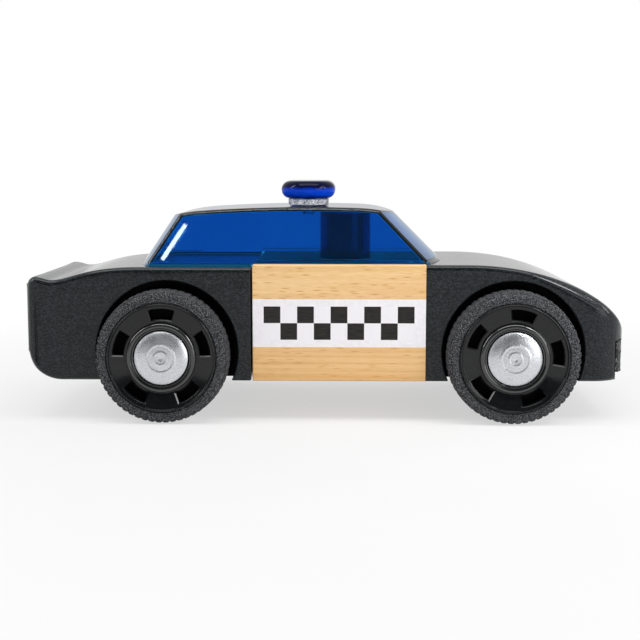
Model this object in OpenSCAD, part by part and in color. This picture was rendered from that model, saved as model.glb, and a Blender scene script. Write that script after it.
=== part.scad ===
// Palm-size toy police car: two wooden halves, lift-off canopy with a light bar, four free wheels.
// Millimetres, +X to the nose, +Z up, origin on the ground under the middle of the car.

/* [Body] */
// Length from the tail face to the tip of the nose
body_length = 118.8; // [112:0.2:130]
// Width across the flat sides of the blocks
body_width = 42; // [39:0.5:50]
// Height of the flat underside above the ground
belly_z = 8; // [6.5:0.1:9]
// Height of the front block
body_height = 23; // [21:0.5:27]
// Length of the rear block, from the tail face to the seam
rear_length = 44.85; // [43.6:0.05:45.6]
// Gap between the two blocks at the seam
seam_gap = 0.3; // [0.2:0.05:0.6]
// How much lower the rear deck lies than the top of the front block
deck_step = 0.5; // [0.3:0.05:1]
// Length of the bare wood between the seam and the painted nose
bare_length = 34.3; // [30:0.1:36]
// Rounding along the painted edges
edge_r = 1; // [0.4:0.1:2]
// Rounding of the nose corners seen from above
nose_corner_r = 6.5; // [2:0.1:8]
// Rounding of the tail corners seen from above
tail_corner_r = 2.5; // [1.2:0.1:4]

/* [Tail and hood lines] */
// Rounding under the tail
tail_under_r = 7; // [3:0.1:9]
// Rounding of the lip at the top of the tail
lip_r = 2; // [1.2:0.1:3]
// How far the crest of the lip lies below the top of the front block
lip_drop = 2.5; // [1.5:0.1:4]
// How far the dip ahead of the lip lies below the top of the front block
dip_drop = 3.1; // [2:0.1:5]
// Distance from the tail face to the lowest point of the dip
dip_back = 5.2; // [4:0.1:7]
// Length over which the deck climbs out of the dip
deck_rise = 17.2; // [12:0.2:20]
// Flat length of the block between the windscreen and the start of the hood's curve
cowl_length = 4.2; // [3:0.1:6]
// How far the tip of the nose lies below the top of the block
nose_drop = 14.5; // [12:0.1:16]
// Rounding of the hood's long edges near the nose
hood_edge_r = 2.4; // [1.5:0.1:4]
// Distance from the tip of the nose back to where that rounding is deepest
hood_edge_back = 7.5; // [6:0.1:9]

/* [Grille] */
// Depth of the step across the nose that holds the grille
grille_depth = 1.9; // [1.2:0.1:3]
// Height of the step's upper edge above the underside
grille_top = 8; // [6:0.1:9]
// Height of the grille strip
grille_height = 6.3; // [4:0.1:7.5]

/* [Wheels] */
// Distance from the tail face to the rear axle
rear_overhang = 27.45; // [24:0.05:29]
// Distance from the front axle to the tip of the nose
front_overhang = 22.55; // [21:0.05:26]
// Diameter of the tyre at its crown
tyre_d = 26.3; // [25:0.1:28]
// Height of the rubber outside the hub's lips
tyre_wall = 2.85; // [2.4:0.05:3.2]
// How far the rim stands out from the side of the body
wheel_stand = 4.7; // [3:0.1:6]
// Gap between the tyre and its arch
arch_gap = 1.1; // [0.8:0.1:2]
// Depth of the wheel pocket, in from the side of the body
pocket_depth = 5.6; // [4.5:0.1:7]
// Diameter of the steel axles
axle_d = 3; // [2:0.1:4]
// Thickness of the washer between the block and the hub
washer_t = 0.6; // [0.4:0.1:1.2]
// Width of the raised collar around the cap
collar_w = 1.6; // [1:0.1:2]
// Width of the plain ring between the collar and the windows
dish_ring = 0.6; // [0.3:0.05:0.9]
// How far the dome of the cap stands out from the rim
cap_proud = 0.6; // [0.2:0.1:1.5]
// Number of recessed windows in the hub
window_count = 5; // [3:1:7]
// Radial height of a window
window_h = 1.85; // [1:0.05:1.9]
// Angle that a window takes up
window_angle = 32; // [20:1:40]

/* [Canopy] */
// Distance from the tail face to the back of the canopy, on its base
canopy_setback = 21.5; // [20:0.1:23]
// Length of the canopy on its base
canopy_length = 61.6; // [56:0.2:66]
// Width of the canopy on its base
canopy_width = 36.8; // [32:0.2:38]
// Width across the roof
roof_width = 31.6; // [26:0.2:32]
// Height from the top of the front block to the crown of the roof
canopy_height = 11.15; // [9:0.05:15]
// Rounding of the canopy's edges
canopy_r = 1.5; // [1.3:0.1:2.5]
// Wall of the canopy
canopy_wall = 1.2; // [0.8:0.1:1.2]
// How far the rear window leans, from its base to the roof
rear_lean = 5.9; // [3:0.1:8]
// How far the windscreen leans, from its base to the roof
front_lean = 9.3; // [4:0.1:10]
// How far the roof drops towards its ends
roof_drop = 1; // [0.4:0.1:2]
// How far the middle of the windscreen bows out on its base
front_bow = 2.8; // [0.4:0.1:4.5]
// How far the middle of the rear window bows out on its base
rear_bow = 2.3; // [0.4:0.1:5]
// Diameter of the post inside the canopy
post_d = 10.6; // [9:0.1:11]
// Distance from the seam to the post's axis
post_setback = 18.4; // [18.4:0.05:20]
// How deep the post plugs into the front block
post_plug = 6.5; // [4:0.1:9]

/* [Light bar] */
// Length of the lens along the car
lens_length = 11.1; // [9:0.1:13]
// Width of the lens across the car
lens_width = 23; // [18:0.5:27]
// Height of the lens
lens_height = 3.6; // [2.6:0.1:5]
// Length of the clear base along the car
base_length = 8.4; // [6:0.1:9]
// Width of the clear base across the car
base_width = 18.5; // [14:0.5:22]
// Height of the clear base above the roof
base_height = 1.5; // [1:0.1:3]
// Distance from the back of the canopy to the middle of the light bar
lightbar_setback = 34.15; // [31:0.05:36]

/* [Coupling] */
// Width of the tongue across the car
tongue_w = 12; // [9:0.1:13]
// Height of the tongue
tongue_h = 6; // [4:0.1:7]
// Length of the tongue ahead of the rear block
tongue_length = 10; // [8:0.1:10.4]
// Wall of the sleeve around the tongue
sleeve_wall = 1.5; // [1:0.1:2]
// Width of the screw plates
plate_w = 22; // [21:0.1:26]
// Height of the screw plates
plate_h = 11; // [10:0.1:13]
// Thickness of the screw plates
plate_t = 2; // [1.6:0.1:2.6]
// Diameter of the screw's shank
screw_d = 1.8; // [1.4:0.1:2.2]
// Length of the screw's shank
screw_length = 8; // [6:0.1:10]

/* [Hidden] */
$fn = 96;
overrun = 1;
bar_lift = 0.1;
wood = [0.91, 0.75, 0.53];
black_paint = [0.17, 0.18, 0.19];
blue_clear = [0.05, 0.3, 0.7, 0.7];
deep_blue = [0.03, 0.16, 0.7];
clear = [0.9, 0.93, 0.97, 0.6];
gloss_black = [0.12, 0.12, 0.13];
rubber_black = [0.2, 0.2, 0.21];
silver = [0.8, 0.81, 0.83];
steel = [0.7, 0.7, 0.72];
plastic_grey = [0.3, 0.31, 0.33];

// clearances
running_gap = 0.05;
slide_gap = 0.1;
wheel_play = 0.3;
seat_gap = 0.05;

// places along the car and heights
tail_x = -body_length / 2;
nose_x = body_length / 2;
seam_x = tail_x + rear_length;
rear_face_x = seam_x - seam_gap / 2;
front_face_x = seam_x + seam_gap / 2;
paint_x = seam_x + bare_length;
top_z = belly_z + body_height;
deck_z = top_z - deck_step;
side_y = body_width / 2;
grille_x = nose_x - grille_depth;
grille_top_z = belly_z + grille_top;
rear_axle_x = tail_x + rear_overhang;
front_axle_x = nose_x - front_overhang;
axle_z = tyre_d / 2;

// wheel stack, measured outwards from the middle of the car
axle_r = axle_d / 2;
bore_r = axle_r + running_gap;
arch_r = tyre_d / 2 + arch_gap;
pocket_y = side_y - pocket_depth;
rim_y = side_y + wheel_stand;
hub_y = pocket_y + washer_t + wheel_play;
hub_w = rim_y - hub_y;
washer_rim = 2.1;
washer_r = axle_r + washer_rim;
tyre_inset = 0.4;
lip_w = 1.2;
lip_h = 0.45;
rim_r = tyre_d / 2 - tyre_wall;
seat_r = rim_r - lip_h;
drum_wall = 0.4;
drum_r = seat_r - drum_wall;
window_margin = 0.15;
boss_wall = 1;
web_t = 2.6;
window_floor = 0.6;
dish_depth = 1.3;
rim_edge = 0.35;
window_out_r = drum_r - window_margin;
collar_r = window_out_r - window_h - dish_ring;
cap_r = collar_r - collar_w;
cap_depth = 1.9;
cap_edge = 0.9;
retainer_t = 0.8;
retainer_rim = 1;
retainer_r = axle_r + retainer_rim;
retainer_room = 0.4;
axle_tip = 0.3;
retainer_pocket = retainer_t + wheel_play + retainer_room + axle_tip;
retainer_y = rim_y - cap_depth - retainer_pocket + wheel_play;
axle_end_y = retainer_y + retainer_t + axle_tip;
shoulder_r = 0.9;
crown_drop = 0.2;
round_steps = 8;
curve_steps = 14;

// canopy
canopy_back_x = tail_x + canopy_setback;
canopy_front_x = canopy_back_x + canopy_length;
hood_length = nose_x - canopy_front_x - cowl_length;
lightbar_x = canopy_back_x + lightbar_setback;
roof_z = top_z + canopy_height;
skirt_z = deck_z + seat_gap;
post_x = seam_x + post_setback;
post_r = post_d / 2;
post_wall = 1.4;
canopy_rise = canopy_height - canopy_r;
function flare(lean) = canopy_r * norm([lean, canopy_rise]) / canopy_rise;
base_back_x = canopy_back_x + rear_bow + flare(rear_lean);
base_front_x = canopy_front_x - front_bow - flare(front_lean);
roof_back_x = base_back_x + rear_lean;
roof_front_x = base_front_x - front_lean;
roof_half = roof_width / 2 - canopy_r;
base_half = canopy_width / 2 - flare((canopy_width - roof_width) / 2);
base_reach_share = 1.35;
roof_bow_share = 1.1;
across_shares = [-1, -0.75, -0.5, -0.25, 0, 0.25, 0.5, 0.75, 1];
rail_shares = [0.15, 0.3, 0.45, 0.6, 0.75, 0.9];
peg_r = 1.2;
peg_inset = 3.6;
peg_tail = 0.6;

// coupling
coupling_z = belly_z + body_height / 2;
screw_inset = 2.2;
screw_y = plate_w / 2 - screw_inset;
head_rim = 0.8;
head_r = screw_d / 2 + head_rim;
head_h = 1.1;
sleeve_w = tongue_w + 2 * slide_gap + 2 * sleeve_wall;
sleeve_h = tongue_h + 2 * slide_gap + 2 * sleeve_wall;
tongue_room = 0.6;
sleeve_length = tongue_length + tongue_room;

// shares of the control points of the outline's curves
lip_pull_share = 0.35;
deck_low_share = 0.2;
deck_high_share = 0.63;
hood_pull_share = 0.595;
hood_nose_share = 0.42;
dome_share = 0.6;
slot_long_share = 1.3;
slot_wide_share = 0.35;

function arc(centre, r, from, to, steps) =
    [for (i = [0:steps]) let (a = from + (to - from) * i / steps) centre + r * [cos(a), sin(a)]];

function bezier(a, b, c, d, steps) =
    [for (i = [0:steps]) let (t = i / steps, u = 1 - t)
        u * u * u * a + 3 * u * u * t * b + 3 * u * t * t * c + t * t * t * d];

// side outlines, in X and Z
function lip_line() = let (crest = [tail_x + lip_r, top_z - lip_drop], dip = [tail_x + dip_back, top_z - dip_drop],
        pull = [(dip[0] - crest[0]) * lip_pull_share, 0])
    bezier(crest, crest + pull, dip - pull, dip, round_steps);

function deck_line() = let (dip = [tail_x + dip_back, top_z - dip_drop], flat = [dip[0] + deck_rise, deck_z])
    bezier(dip, [dip[0] + deck_rise * deck_low_share, dip[1]],
        [flat[0] - deck_rise * deck_high_share, flat[1]], flat, curve_steps);

function rear_outline() = concat(
    [[rear_face_x, belly_z]],
    arc([tail_x + tail_under_r, belly_z + tail_under_r], tail_under_r, 270, 180, round_steps),
    arc([tail_x + lip_r, top_z - lip_drop - lip_r], lip_r, 180, 90, round_steps),
    lip_line(), deck_line(), [[rear_face_x, deck_z]]);

function hood_line() = let (back = [nose_x - hood_length, top_z], tip = [nose_x, top_z - nose_drop])
    bezier(back, back + [hood_length * hood_pull_share, 0], tip + [0, nose_drop * hood_nose_share], tip, curve_steps);

function nose_outline(start_x) = concat(
    [[start_x, belly_z], [start_x, top_z]], hood_line(), [[nose_x, belly_z]]);

// height of the hood at a place along the car, and a tilted bar with rounded upper edges that lies along it
function hood_z(x) = lookup(x, hood_line());
function bar_outline(depth) = concat(
    arc([side_y - hood_edge_r, -hood_edge_r], hood_edge_r, 0, 90, round_steps),
    arc([hood_edge_r - side_y, -hood_edge_r], hood_edge_r, 90, 180, round_steps),
    [[-side_y, -depth], [side_y, -depth]]);

module hood_bar() {
    x = nose_x - hood_edge_back;
    tilt = atan2(hood_z(x - overrun) - hood_z(x + overrun), 2 * overrun);
    translate([x, 0, hood_z(x) + bar_lift]) rotate([0, tilt, 0]) rotate([90, 0, 90])
        translate([0, 0, -body_length / 2]) linear_extrude(height = body_length) polygon(bar_outline(body_length));
}

// outline seen from above
function plan_corner(x, y, r, turn) = arc([x, y], r, turn, turn + 90, round_steps);

function plan_outline() = concat(
    plan_corner(nose_x - nose_corner_r, side_y - nose_corner_r, nose_corner_r, 0),
    plan_corner(tail_x + tail_corner_r, side_y - tail_corner_r, tail_corner_r, 90),
    plan_corner(tail_x + tail_corner_r, tail_corner_r - side_y, tail_corner_r, 180),
    plan_corner(nose_x - nose_corner_r, nose_corner_r - side_y, nose_corner_r, 270));

module plan_prism() {
    translate([0, 0, belly_z - overrun]) linear_extrude(height = body_height + 2 * overrun) polygon(plan_outline());
}

// an outline in X and Z, drawn across the car
module across(points, width) {
    rotate([90, 0, 0]) translate([0, 0, -width / 2]) linear_extrude(height = width) polygon(points);
}

// the same, with rounded long edges
module rounded_across(points, width) {
    rotate([90, 0, 0]) hull() {
        for (a = [0, 30, 60, 90]) {
            depth = width - 2 * edge_r * (1 - sin(a));
            translate([0, 0, -depth / 2]) linear_extrude(height = depth)
                offset(delta = -edge_r * (1 - cos(a))) polygon(points);
        }
    }
}

module block_slice(from_x, to_x) {
    translate([from_x, -side_y - overrun, belly_z - overrun])
        cube([to_x - from_x, body_width + 2 * overrun, body_height + 2 * overrun]);
}

// wheel pockets and the bore for the axle
module axle_cuts(x) {
    translate([x, 0, axle_z]) rotate([90, 0, 0]) {
        for (side = [-1, 1]) {
            translate([0, 0, side * (pocket_y + side_y + overrun) / 2])
                cylinder(r = arch_r, h = pocket_depth + overrun, center = true);
        }
        cylinder(r = axle_r, h = body_width, center = true);
    }
}

module plate_outline(grow) {
    square([plate_h + 2 * grow, plate_w + 2 * grow], center = true);
}

// a screw plate that starts at its outer face and goes in along its own +Z
module screw_plate(grow) {
    linear_extrude(height = plate_t + grow) plate_outline(grow);
}

module screw_cuts(r) {
    for (side = [-1, 1]) translate([0, side * screw_y, 0]) {
        translate([0, 0, -overrun]) cylinder(r = r, h = screw_length + plate_t + 2 * overrun);
    }
}

module rear_body() {
    color(black_paint) difference() {
        intersection() {
            rounded_across(concat(rear_outline(), [[rear_face_x + edge_r, deck_z], [rear_face_x + edge_r, belly_z]]),
                body_width);
            across(rear_outline(), body_width);
            plan_prism();
        }
        axle_cuts(rear_axle_x);
        translate([rear_face_x, 0, coupling_z]) rotate([0, -90, 0]) {
            translate([0, 0, -overrun]) linear_extrude(height = plate_t + overrun) plate_outline(seat_gap);
            screw_cuts(screw_d / 2);
        }
    }
}

module front_body() {
    difference() {
        union() {
            color(wood) intersection() {
                across(nose_outline(front_face_x), body_width);
                block_slice(front_face_x, paint_x);
            }
            color(black_paint) intersection() {
                rounded_across(nose_outline(paint_x - edge_r), body_width);
                block_slice(paint_x, nose_x);
                plan_prism();
                hood_bar();
            }
        }
        axle_cuts(front_axle_x);
        translate([grille_x, -side_y - overrun, belly_z - overrun])
            cube([grille_depth + overrun, body_width + 2 * overrun, grille_top + overrun]);
        translate([post_x, 0, top_z - post_plug - tongue_room])
            cylinder(r = post_r + slide_gap, h = post_plug + tongue_room + overrun);
        translate([front_face_x, 0, coupling_z]) rotate([0, 90, 0]) {
            translate([0, 0, -overrun]) linear_extrude(height = plate_t + overrun) plate_outline(seat_gap);
            translate([0, 0, sleeve_length / 2])
                cube([sleeve_h + 2 * seat_gap, sleeve_w + 2 * seat_gap, sleeve_length], center = true);
            screw_cuts(screw_d / 2);
        }
    }
}

module front_grille() {
    color(rubber_black) intersection() {
        translate([grille_x, -side_y, grille_top_z - seat_gap - grille_height])
            cube([grille_depth, body_width, grille_height]);
        plan_prism();
    }
}

// centres of the spheres that the canopy's skin is drawn around
function roof_rise(x) = let (reach = max(lightbar_x - roof_back_x, roof_front_x - lightbar_x))
    roof_z - canopy_r - roof_drop * pow((x - lightbar_x) / reach, 2);
function bowed(x, bow, s) = x + bow * (1 - s * s);
function roof_row(x, bow) = [for (s = across_shares) let (at = bowed(x, bow * roof_bow_share, s))
    [at, s * roof_half, roof_rise(at)]];
function base_row(x, bow) = [for (s = across_shares) [bowed(x, bow, s), s * base_half, top_z]];
function extended(roof, base) = [for (i = [0:len(roof) - 1]) roof[i] + (base[i] - roof[i]) * base_reach_share];
function rail(side) = [for (s = rail_shares) let (x = roof_back_x + (roof_front_x - roof_back_x) * s)
    [x, side * roof_half, roof_rise(x)]];
function canopy_centres() = concat(rail(1), rail(-1),
    roof_row(roof_back_x, -rear_bow), roof_row(roof_front_x, front_bow),
    extended(roof_row(roof_back_x, -rear_bow), base_row(base_back_x, -rear_bow)),
    extended(roof_row(roof_front_x, front_bow), base_row(base_front_x, front_bow)));

module canopy_skin(r) {
    hull() for (c = canopy_centres()) translate(c) sphere(r = r, $fn = 20);
}

module canopy() {
    color(blue_clear) {
        difference() {
            canopy_skin(canopy_r);
            canopy_skin(canopy_r - canopy_wall);
            translate([tail_x, -body_width, 0]) cube([body_length, 2 * body_width, skirt_z]);
            translate([seam_x - seam_gap, -body_width, 0]) cube([body_length, 2 * body_width, top_z]);
            for (side = [-1, 1]) {
                translate([lightbar_x, side * (base_width / 2 - peg_inset), top_z])
                    cylinder(r = peg_r + seat_gap, h = canopy_height + overrun);
            }
        }
        translate([post_x, 0, top_z - post_plug]) difference() {
            cylinder(r = post_r, h = post_plug + canopy_height - canopy_wall);
            translate([0, 0, -overrun])
                cylinder(r = post_r - post_wall, h = post_plug + canopy_height - 2 * canopy_wall + overrun);
        }
    }
}

// a flat bar with half-round ends, drawn across the car
module racetrack(length, width, height) {
    linear_extrude(height = height) square([length, width - length], center = true);
    for (side = [-1, 1]) translate([0, side * (width - length) / 2, 0]) cylinder(d = length, h = height);
}

module lightbar_base() {
    color(clear) translate([lightbar_x, 0, roof_z]) {
        racetrack(base_length, base_width, base_height);
        for (side = [-1, 1]) {
            translate([0, side * (base_width / 2 - peg_inset), -canopy_wall - peg_tail])
                cylinder(r = peg_r, h = canopy_wall + peg_tail + base_height / 2);
        }
    }
}

module lens_half_section() {
    translate([lens_length / 2 - lens_height / 2, 0]) circle(d = lens_height);
    translate([0, -lens_height / 2]) square([lens_length / 2 - lens_height / 2, lens_height]);
}

module lightbar_lens() {
    run = lens_width - lens_length;
    color(deep_blue) translate([lightbar_x, 0, roof_z + base_height + lens_height / 2]) {
        for (side = [-1, 1]) translate([0, side * run / 2, 0]) rotate_extrude()
            intersection() {
                lens_half_section();
                translate([0, -lens_height]) square([lens_length, 2 * lens_height]);
            }
        rotate([90, 0, 0]) translate([0, 0, -run / 2]) linear_extrude(height = run) {
            lens_half_section();
            mirror([1, 0]) lens_half_section();
        }
    }
}

module coupling_plug() {
    color(plastic_grey) translate([rear_face_x, 0, coupling_z]) difference() {
        union() {
            rotate([0, -90, 0]) screw_plate(0);
            translate([-plate_t / 2, -tongue_w / 2, -tongue_h / 2])
                cube([plate_t / 2 + tongue_length, tongue_w, tongue_h]);
        }
        rotate([0, -90, 0]) plate_screw_holes();
    }
}

module coupling_socket() {
    color(plastic_grey) translate([front_face_x, 0, coupling_z]) rotate([0, 90, 0]) difference() {
        union() {
            screw_plate(0);
            translate([0, 0, sleeve_length / 2]) cube([sleeve_h, sleeve_w, sleeve_length], center = true);
        }
        translate([0, 0, sleeve_length / 2])
            cube([tongue_h + 2 * slide_gap, tongue_w + 2 * slide_gap, sleeve_length + 2 * overrun], center = true);
        plate_screw_holes();
    }
}

// holes for a plate's two screws, with room for the heads
module plate_screw_holes() {
    for (side = [-1, 1]) translate([0, side * screw_y, 0]) {
        translate([0, 0, -overrun]) cylinder(r = screw_d / 2 + seat_gap, h = plate_t + 2 * overrun);
        translate([0, 0, -overrun]) cylinder(r = head_r + seat_gap, h = head_h + overrun);
    }
}

module plate_screws() {
    for (side = [-1, 1]) translate([0, side * screw_y, 0]) difference() {
        union() {
            cylinder(r = head_r, h = head_h);
            cylinder(r = screw_d / 2, h = plate_t + screw_length);
        }
        translate([0, 0, -overrun]) linear_extrude(height = overrun + head_h / 2) for (turn = [0, 90])
            rotate(turn) square([head_r * slot_long_share, head_r * slot_wide_share], center = true);
    }
}

module plug_screws() {
    color(steel) translate([rear_face_x, 0, coupling_z]) rotate([0, -90, 0]) plate_screws();
}

module socket_screws() {
    color(steel) translate([front_face_x, 0, coupling_z]) rotate([0, 90, 0]) plate_screws();
}

module axle(x) {
    color(steel) translate([x, 0, axle_z]) rotate([90, 0, 0])
        cylinder(r = axle_r, h = 2 * axle_end_y, center = true);
}

// rings on both ends of an axle, from a distance off the middle of the car
module ring_pair(x, from_y, inner_r, outer_r, thickness) {
    for (side = [-1, 1]) translate([x, 0, axle_z]) rotate([-90 * side, 0, 0]) translate([0, 0, from_y])
        difference() {
            cylinder(r = outer_r, h = thickness);
            translate([0, 0, -overrun]) cylinder(r = inner_r, h = thickness + 2 * overrun);
        }
}

module washers(x) { color(gloss_black) ring_pair(x, pocket_y, bore_r, washer_r, washer_t); }
module retainers(x) { color(steel) ring_pair(x, retainer_y, axle_r, retainer_r, retainer_t); }

// wheel pieces, drawn outwards along +Z from the hub's inner end
function collar_line() = let (low = hub_w - dish_depth, tall = dish_depth)
    concat([[collar_r, low]],
        [for (i = [0:round_steps]) let (a = 180 * i / round_steps)
            [cap_r + collar_w / 2 + collar_w / 2 * cos(a), low + tall * sin(a)]]);

function hub_section() = let (back = hub_w - dish_depth - web_t, seat = hub_w - cap_depth,
        floor_z = seat - retainer_pocket, pocket_r = retainer_r + retainer_room)
    concat(
        [[bore_r, 0], [pocket_r + boss_wall, 0], [pocket_r + boss_wall, back], [drum_r, back],
            [drum_r, 0], [rim_r, 0], [rim_r, lip_w], [seat_r, lip_w], [seat_r, hub_w - lip_w],
            [rim_r, hub_w - lip_w], [rim_r, hub_w - rim_edge], [rim_r - rim_edge, hub_w],
            [rim_r - 2 * rim_edge, hub_w], [drum_r + rim_edge / 2, hub_w - 2 * rim_edge]],
        collar_line(),
        [[cap_r, seat], [pocket_r, seat], [pocket_r, floor_z], [bore_r, floor_z]]);

function window_outline() = let (half = window_angle / 2, in_r = window_out_r - window_h)
    concat(arc([0, 0], window_out_r, -half, half, round_steps), arc([0, 0], in_r, half, -half, round_steps));

module hub_shape() {
    difference() {
        rotate_extrude() polygon(hub_section());
        for (i = [0:window_count - 1]) rotate(90 + 360 * i / window_count)
            translate([0, 0, hub_w - dish_depth - web_t + window_floor])
                linear_extrude(height = dish_depth + web_t + overrun) polygon(window_outline());
    }
}

function tyre_section() = let (low = tyre_inset, high = hub_w - tyre_inset, r = tyre_d / 2, edge = r - crown_drop,
        mid = hub_w / 2)
    concat(
        [[seat_r, lip_w], [rim_r, lip_w], [rim_r, low]],
        arc([edge - shoulder_r, low + shoulder_r], shoulder_r, 270, 360, round_steps),
        [[r, mid]],
        arc([edge - shoulder_r, high - shoulder_r], shoulder_r, 0, 90, round_steps),
        [[rim_r, high], [rim_r, hub_w - lip_w], [seat_r, hub_w - lip_w]]);

module tyre_shape() { rotate_extrude() polygon(tyre_section()); }

function cap_section() = let (seat = hub_w - cap_depth, top = hub_w + cap_proud, rim = top - cap_edge)
    concat([[0, seat], [cap_r, seat]],
        [for (i = [0:round_steps]) let (a = 90 * i / round_steps)
            [cap_r * pow(cos(a), dome_share), rim + cap_edge * sin(a)]],
        [[0, top]]);

module cap_shape() { rotate_extrude() polygon(cap_section()); }

// side is -1 for the right of the car and 1 for the left
module on_wheel(x, side) {
    translate([x, 0, axle_z]) rotate([-90 * side, 0, 0]) translate([0, 0, hub_y]) children();
}

module hub(x, side) { color(gloss_black) on_wheel(x, side) hub_shape(); }
module tyre(x, side) { color(rubber_black) on_wheel(x, side) tyre_shape(); }
module cap(x, side) { color(silver) on_wheel(x, side) cap_shape(); }

rear_body();
front_body();
front_grille();
canopy();
lightbar_base();
lightbar_lens();
coupling_plug();
plug_screws();
coupling_socket();
socket_screws();
axle(front_axle_x);  // front_axle
axle(rear_axle_x);  // rear_axle
washers(front_axle_x);  // front_washers
washers(rear_axle_x);  // rear_washers
retainers(front_axle_x);  // front_retainers
retainers(rear_axle_x);  // rear_retainers
hub(front_axle_x, -1);  // hub_front_right
hub(front_axle_x, 1);  // hub_front_left
hub(rear_axle_x, -1);  // hub_rear_right
hub(rear_axle_x, 1);  // hub_rear_left
tyre(front_axle_x, -1);  // tyre_front_right
tyre(front_axle_x, 1);  // tyre_front_left
tyre(rear_axle_x, -1);  // tyre_rear_right
tyre(rear_axle_x, 1);  // tyre_rear_left
cap(front_axle_x, -1);  // cap_front_right
cap(front_axle_x, 1);  // cap_front_left
cap(rear_axle_x, -1);  // cap_rear_right
cap(rear_axle_x, 1);  // cap_rear_left
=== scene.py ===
import math

import bmesh
import bpy
from mathutils import Matrix, Vector, noise


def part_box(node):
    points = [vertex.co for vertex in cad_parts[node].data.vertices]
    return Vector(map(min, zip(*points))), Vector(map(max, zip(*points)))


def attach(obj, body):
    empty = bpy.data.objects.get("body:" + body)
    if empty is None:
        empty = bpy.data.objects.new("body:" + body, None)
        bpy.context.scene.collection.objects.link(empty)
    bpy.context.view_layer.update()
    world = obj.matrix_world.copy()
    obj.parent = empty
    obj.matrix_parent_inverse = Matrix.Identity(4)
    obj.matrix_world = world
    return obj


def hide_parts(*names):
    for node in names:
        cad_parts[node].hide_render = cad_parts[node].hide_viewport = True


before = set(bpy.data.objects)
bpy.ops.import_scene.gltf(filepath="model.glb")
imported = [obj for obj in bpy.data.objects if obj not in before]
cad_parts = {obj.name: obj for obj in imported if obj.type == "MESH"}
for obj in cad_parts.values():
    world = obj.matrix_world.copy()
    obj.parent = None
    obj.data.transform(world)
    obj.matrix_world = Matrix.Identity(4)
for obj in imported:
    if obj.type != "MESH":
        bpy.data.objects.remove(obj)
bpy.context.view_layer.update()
MM = 0.001


# Sizes read from the CAD parts in model.glb, in millimetres
def box_mm(node):
    low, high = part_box(node)
    return low / MM, high / MM


REAR_LOW, REAR_HIGH = box_mm("rear_body")
FRONT_LOW, FRONT_HIGH = box_mm("front_body")
LENS_LOW, LENS_HIGH = box_mm("lightbar_lens")
BASE_LOW, BASE_HIGH = box_mm("lightbar_base")
GRILLE_LOW, GRILLE_HIGH = box_mm("front_grille")
HUB_LOW, HUB_HIGH = box_mm("hub_front_left")
TYRE_LOW, TYRE_HIGH = box_mm("tyre_front_left")
CAP_LOW, CAP_HIGH = box_mm("cap_front_left")

TAIL_X, NOSE_X = REAR_LOW.x, FRONT_HIGH.x
REAR_FACE_X, FRONT_FACE_X = REAR_HIGH.x, FRONT_LOW.x
BELLY_Z, TOP_Z, DECK_Z = FRONT_LOW.z, FRONT_HIGH.z, REAR_HIGH.z
SIDE_Y = FRONT_HIGH.y
BARE_LENGTH = 34.15
PAINT_X = FRONT_FACE_X + BARE_LENGTH
AXLE_Z = (TYRE_LOW.z + TYRE_HIGH.z) / 2
FRONT_AXLE_X = (TYRE_LOW.x + TYRE_HIGH.x) / 2
REAR_AXLE_X = sum(p.x for p in box_mm("tyre_rear_left")) / 2
TYRE_R = (TYRE_HIGH.z - TYRE_LOW.z) / 2
RIM_R = (HUB_HIGH.z - HUB_LOW.z) / 2
CAP_R = (CAP_HIGH.z - CAP_LOW.z) / 2
HUB_Y, RIM_Y = HUB_LOW.y, HUB_HIGH.y
HUB_W = RIM_Y - HUB_Y
FOOT_H = 1.5
ROOF_Z = BASE_HIGH.z - FOOT_H

# Sizes of the forms inside those boxes, in millimetres
ARCH_R, POCKET_Y, HIDDEN_Y = 14.0, 15.4, SIDE_Y - 6.0
ARCH_LIFT, FRONT_ARCH_AHEAD, REAR_ARCH_AHEAD = 0.7, 0.2, 0.6
ARCH_Z = AXLE_Z + ARCH_LIFT
FRONT_ARCH_X, REAR_ARCH_X = FRONT_AXLE_X + FRONT_ARCH_AHEAD, REAR_AXLE_X + REAR_ARCH_AHEAD
AXLE_R, COLLAR_W = 1.5, 1.6
COLLAR_R = CAP_R + COLLAR_W
EDGE_R, FINE_EDGE_R = 1.0, 0.3
NOSE_CORNER_R, TAIL_CORNER_R = 6.5, 2.5
TAIL_UNDER_R, LIP_R = 7.0, 2.0
LIP_DROP, DIP_DROP, DIP_BACK, DECK_RISE = 2.5, 3.1, 5.2, 17.2
HOOD_LENGTH, NOSE_DROP = 31.5, 14.5
HOOD_EDGE_R, HOOD_EDGE_BACK, HOOD_EDGE_FADE = 2.4, 7.5, 0.6
GRILLE_X, GRILLE_TOP_Z = GRILLE_LOW.x, GRILLE_HIGH.z + 0.05
POST_X, POST_R, POST_WALL, POST_PLUG = 3.85, 5.3, 1.4, 6.5
POST_SLIP, POST_SPARE, POST_EASE = 0.1, 0.6, 0.3
PEG_Y, PEG_R, PEG_SLIP, PEG_UP = 5.65, 1.2, 0.05, 0.7
COUPLING_Z = (BELLY_Z + TOP_Z) / 2
PLATE_HALF_Y, PLATE_HALF_Z, PLATE_DEPTH = 11.05, 5.55, 2.0
SLEEVE_HALF_Y, SLEEVE_HALF_Z, SLEEVE_DEPTH = 7.65, 4.65, 10.6
SCREW_Y, SCREW_R, SCREW_DEPTH = 8.8, 0.9, 10.0

# Shares of the outlines' curves that their handles take
LIP_PULL, DIP_PULL, DECK_PULL, HOOD_PULL, NOSE_PULL = 0.35, 0.2, 0.63, 0.595, 0.42

# How far a cutter stands out of what it cuts, how near to a plane counts as on it, and a place off the part
PAST, NEAR, NOWHERE = 1.0, 0.02, 1e3


def arc(centre, r, start, end, steps):
    return [
        (centre[0] + r * math.cos(a), centre[1] + r * math.sin(a))
        for a in (math.radians(start + (end - start) * i / steps) for i in range(steps + 1))
    ]


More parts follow.
